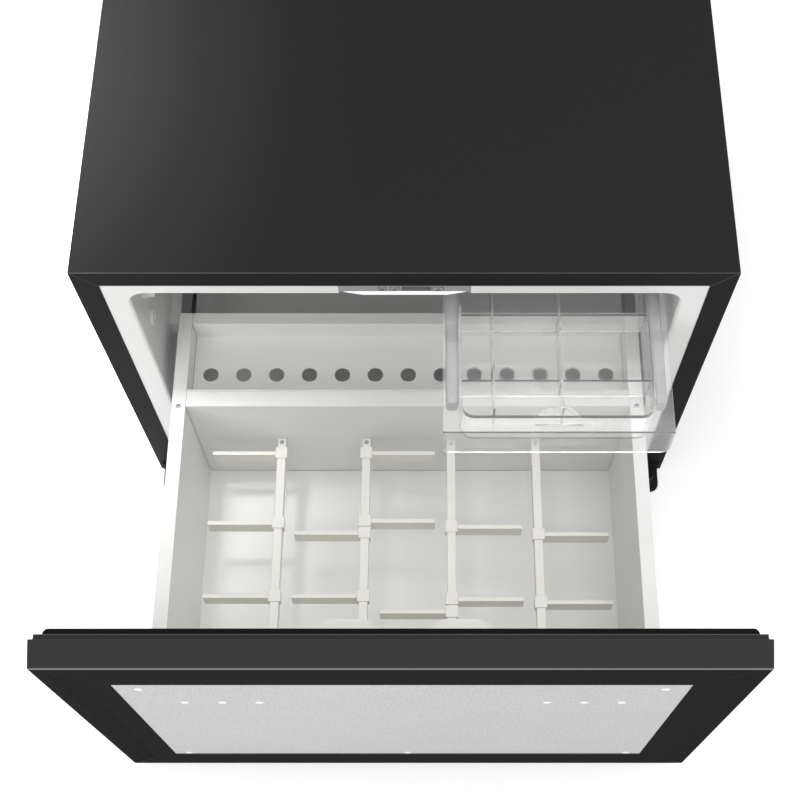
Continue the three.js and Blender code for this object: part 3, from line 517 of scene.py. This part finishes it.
class MINIBAR_OT_controls(bpy.types.Operator):
    """Finishes the control strip, its buttons and marks, and the lamp lens"""

    bl_idname = "minibar.controls"
    bl_label = "Controls"

    def execute(self, context):
        colours = context.scene.minibar_colours
        sizes = context.scene.minibar_sizes
        # Moulded ABS with a spark-eroded grain: mid grey, matt.
        grey = surface("moulded_abs_grey", colours.control,
                       roughness=0.45, spread=0.04, grain_mm=0.6, relief_mm=0.006)
        dress(grey, ["control_housing", "power_button", "down_button", "up_button"], 0.3 * MM)
        # Smoked acrylic window: dark grey and glossy.
        smoked = surface("smoked_acrylic_window", linear("#55575b"),
                         roughness=0.12, spread=0.03, grain_mm=8.0, relief_mm=0.002)
        dress(smoked, ["display_window"])
        # Opal acrylic lens: bright white and softly shining.
        opal = surface("opal_acrylic_lens", linear("#ffffff"),
                       roughness=0.3, spread=0.03, grain_mm=8.0, relief_mm=0.002,
                       Emission_Color=(1, 1, 1, 1), Emission_Strength=0.35)
        dress(opal, ["lamp_lens"], 0.5 * MM)
        # Pad-printed ink: dark, flat marks on the buttons.
        ink = surface("printed_ink_dark", linear("#1c1d1f"),
                      roughness=0.5, spread=0.04, grain_mm=0.5, relief_mm=0.002)
        turn = np.linspace(0, 2 * math.pi, 40, endpoint=False)
        triangle = np.array([(-1.0, -0.7), (1.0, -0.7), (0.0, 0.9)])
        # Each outline is in millimetres from its button's middle.
        shapes = {
            "power_button": np.stack([np.cos(turn), np.sin(turn)], axis=-1) * 1.9,
            "down_button": triangle * (2.2, -2.0),
            "up_button": triangle * (2.2, 2.0),
        }
        for name, shape in shapes.items():
            low, high = (np.array(corner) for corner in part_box(name))
            centre = (low + high) / 2
            outline = shape * MM + (centre[0], centre[2])
            grids = [mark(outline, low[1], sizes.icon_height)]
            piece_from_grids(name + "_mark", grids, ink, name)
        return {"FINISHED"}


class MINIBAR_OT_machine(bpy.types.Operator):
    """Finishes the cooling machine behind the rear cover"""

    bl_idname = "minibar.machine"
    bl_label = "Cooling machine"

    def execute(self, context):
        # Enamelled steel: black, dipped, fairly glossy.
        enamel = surface("enamelled_steel_black", linear("#1b1b1d"),
                         roughness=0.35, spread=0.05, grain_mm=1.5, relief_mm=0.01)
        dress(enamel, ["compressor", "condenser_coil"])
        # Moulded flame-retardant ABS: grey and matt.
        box = surface("moulded_abs_box_grey", linear("#7f8083"),
                      roughness=0.55, spread=0.04, grain_mm=0.8, relief_mm=0.01)
        dress(box, ["electronics_box"], 0.8 * MM)
        # Moulded nylon socket: black and matt.
        nylon = surface("moulded_nylon_black", linear("#1f2022"),
                        roughness=0.5, spread=0.04, grain_mm=0.8, relief_mm=0.008)
        dress(nylon, ["mains_inlet"], 0.4 * MM)
        return {"FINISHED"}


def set_floor(scene):
    """Lays a floor that looks white from afar and still takes the cabinet's shadow."""
    half_width = 15
    level = -0.5 * MM
    # Pale studio floor: matt white paint.
    coat = bpy.data.materials.new("studio_floor_white")
    coat.use_nodes = True
    tree = coat.node_tree
    shader = tree.nodes["Principled BSDF"]
    shader.inputs["Base Color"].default_value = (*scene.minibar_colours.floor, 1)
    shader.inputs["Roughness"].default_value = 0.9
    shader.inputs["Specular IOR Level"].default_value = 0.1
    shader.inputs["Emission Color"].default_value = (1, 1, 1, 1)
    # Away from the lamps the floor is lifted more, so that it runs into the white background.
    place = add(tree, "ShaderNodeTexCoord")
    far = add(tree, "ShaderNodeVectorMath", {0: place.outputs["Object"]}, operation="LENGTH")
    rise = add(tree, "ShaderNodeMapRange", {
        "Value": far.outputs["Value"], "From Min": 1.2, "From Max": 3.5, "To Min": 0.3, "To Max": 0.62})
    lift = add(tree, "ShaderNodeMath", {0: shown(tree), 1: rise.outputs["Result"]}, operation="MULTIPLY")
    tree.links.new(lift.outputs[0], shader.inputs["Emission Strength"])
    corners = [(x * half_width, y * half_width, level) for x, y in ((-1, -1), (1, -1), (1, 1), (-1, 1))]
    mesh = bpy.data.meshes.new("studio_floor")
    mesh.from_pydata(corners, [], [(0, 1, 2, 3)])
    mesh.materials.append(coat)
    floor = bpy.data.objects.new("studio_floor", mesh)
    scene.collection.objects.link(floor)


def set_world(scene):
    """Surrounds the cabinet with white that is full where it is seen and half as strong as a light."""
    world = bpy.data.worlds.new("studio_world")
    scene.world = world
    world.use_nodes = True
    tree = world.node_tree
    back = tree.nodes["Background"]
    level = add(tree, "ShaderNodeMapRange", {"Value": shown(tree), "To Min": 0.5, "To Max": 1.0})
    tree.links.new(level.outputs["Result"], back.inputs["Strength"])
    back.inputs["Color"].default_value = (1, 1, 1, 1)


def set_lamps(scene):
    """Hangs the lamps: place and size in metres, turn and spread in degrees, power in watts."""
    for name, place, turn, size, power, spread in (
            ("top_softbox", (0.4, -0.5, 2.4), (0, 0, 0), 2.2, 30, 180),
            ("front_softbox", (-0.9, -2.4, 1.5), (60, 0, -20), 1.6, 27, 180),
            ("right_softbox", (2.2, 0.2, 1.5), (0, 58, 0), 1.6, 6, 180),
            ("left_strip", (-0.47, -0.02, 1.3), (0, 0, 0), 0.36, 2.8, 34)):
        lamp = bpy.data.lights.new(name, "AREA")
        lamp.size = size
        lamp.energy = power
        lamp.spread = math.radians(spread)
        made = bpy.data.objects.new(name, lamp)
        made.location = place
        made.rotation_euler = Euler([math.radians(angle) for angle in turn])
        scene.collection.objects.link(made)


def set_camera(scene):
    """Sets the camera: the lens shifts by the principal point's distance from the picture's middle."""
    lens = bpy.data.cameras.new("camera")
    lens.sensor_width = SENSOR_MM
    lens.lens = SENSOR_MM * FOCAL_LENGTH / IMAGE_WIDTH
    lens.shift_x = (IMAGE_WIDTH / 2 - PRINCIPAL_X) / IMAGE_WIDTH
    lens.shift_y = (PRINCIPAL_Y - IMAGE_HEIGHT / 2) / IMAGE_WIDTH
    lens.clip_start = 0.05
    camera = bpy.data.objects.new("camera", lens)
    camera.location = CAMERA_PLACE
    camera.rotation_euler = Euler((math.radians(90 - CAMERA_DIP), 0, 0))
    scene.collection.objects.link(camera)
    scene.camera = camera


class MINIBAR_OT_stage(bpy.types.Operator):
    """Sets the floor, the lights and the camera"""

    bl_idname = "minibar.stage"
    bl_label = "Stage"

    def execute(self, context):
        scene = context.scene
        scene.view_settings.view_transform = "Standard"
        set_floor(scene)
        set_world(scene)
        set_lamps(scene)
        set_camera(scene)
        return {"FINISHED"}


OPERATORS = (
    MINIBAR_OT_shell, MINIBAR_OT_liner, MINIBAR_OT_drawer_front, MINIBAR_OT_seal, MINIBAR_OT_drawer_box,
    MINIBAR_OT_dividers, MINIBAR_OT_tray, MINIBAR_OT_controls, MINIBAR_OT_machine, MINIBAR_OT_stage,
)


class MINIBAR_PT_finishes(bpy.types.Panel):
    """Lists the finishes and their settings"""

    bl_idname = "MINIBAR_PT_finishes"
    bl_label = "Minibar finishes"
    bl_space_type = "VIEW_3D"
    bl_region_type = "UI"
    bl_category = "Minibar"

    def draw(self, context):
        for group in (context.scene.minibar_colours, context.scene.minibar_sizes):
            for field in group.__annotations__:
                self.layout.prop(group, field)
        for operator in OPERATORS:
            self.layout.operator(operator.bl_idname)


CLASSES = (MinibarColours, MinibarSizes, *OPERATORS, MINIBAR_PT_finishes)


def register():
    for each in CLASSES:
        bpy.utils.register_class(each)
    bpy.types.Scene.minibar_colours = PointerProperty(type=MinibarColours)
    bpy.types.Scene.minibar_sizes = PointerProperty(type=MinibarSizes)


def unregister():
    del bpy.types.Scene.minibar_sizes
    del bpy.types.Scene.minibar_colours
    for each in reversed(CLASSES):
        bpy.utils.unregister_class(each)


def main():
    register()
    bpy.ops.minibar.shell()
    bpy.ops.minibar.liner()
    bpy.ops.minibar.drawer_front()
    bpy.ops.minibar.seal()
    bpy.ops.minibar.drawer_box()
    bpy.ops.minibar.dividers()
    bpy.ops.minibar.tray()
    bpy.ops.minibar.controls()
    bpy.ops.minibar.machine()
    bpy.ops.minibar.stage()


if __name__ == "__main__":
    main()
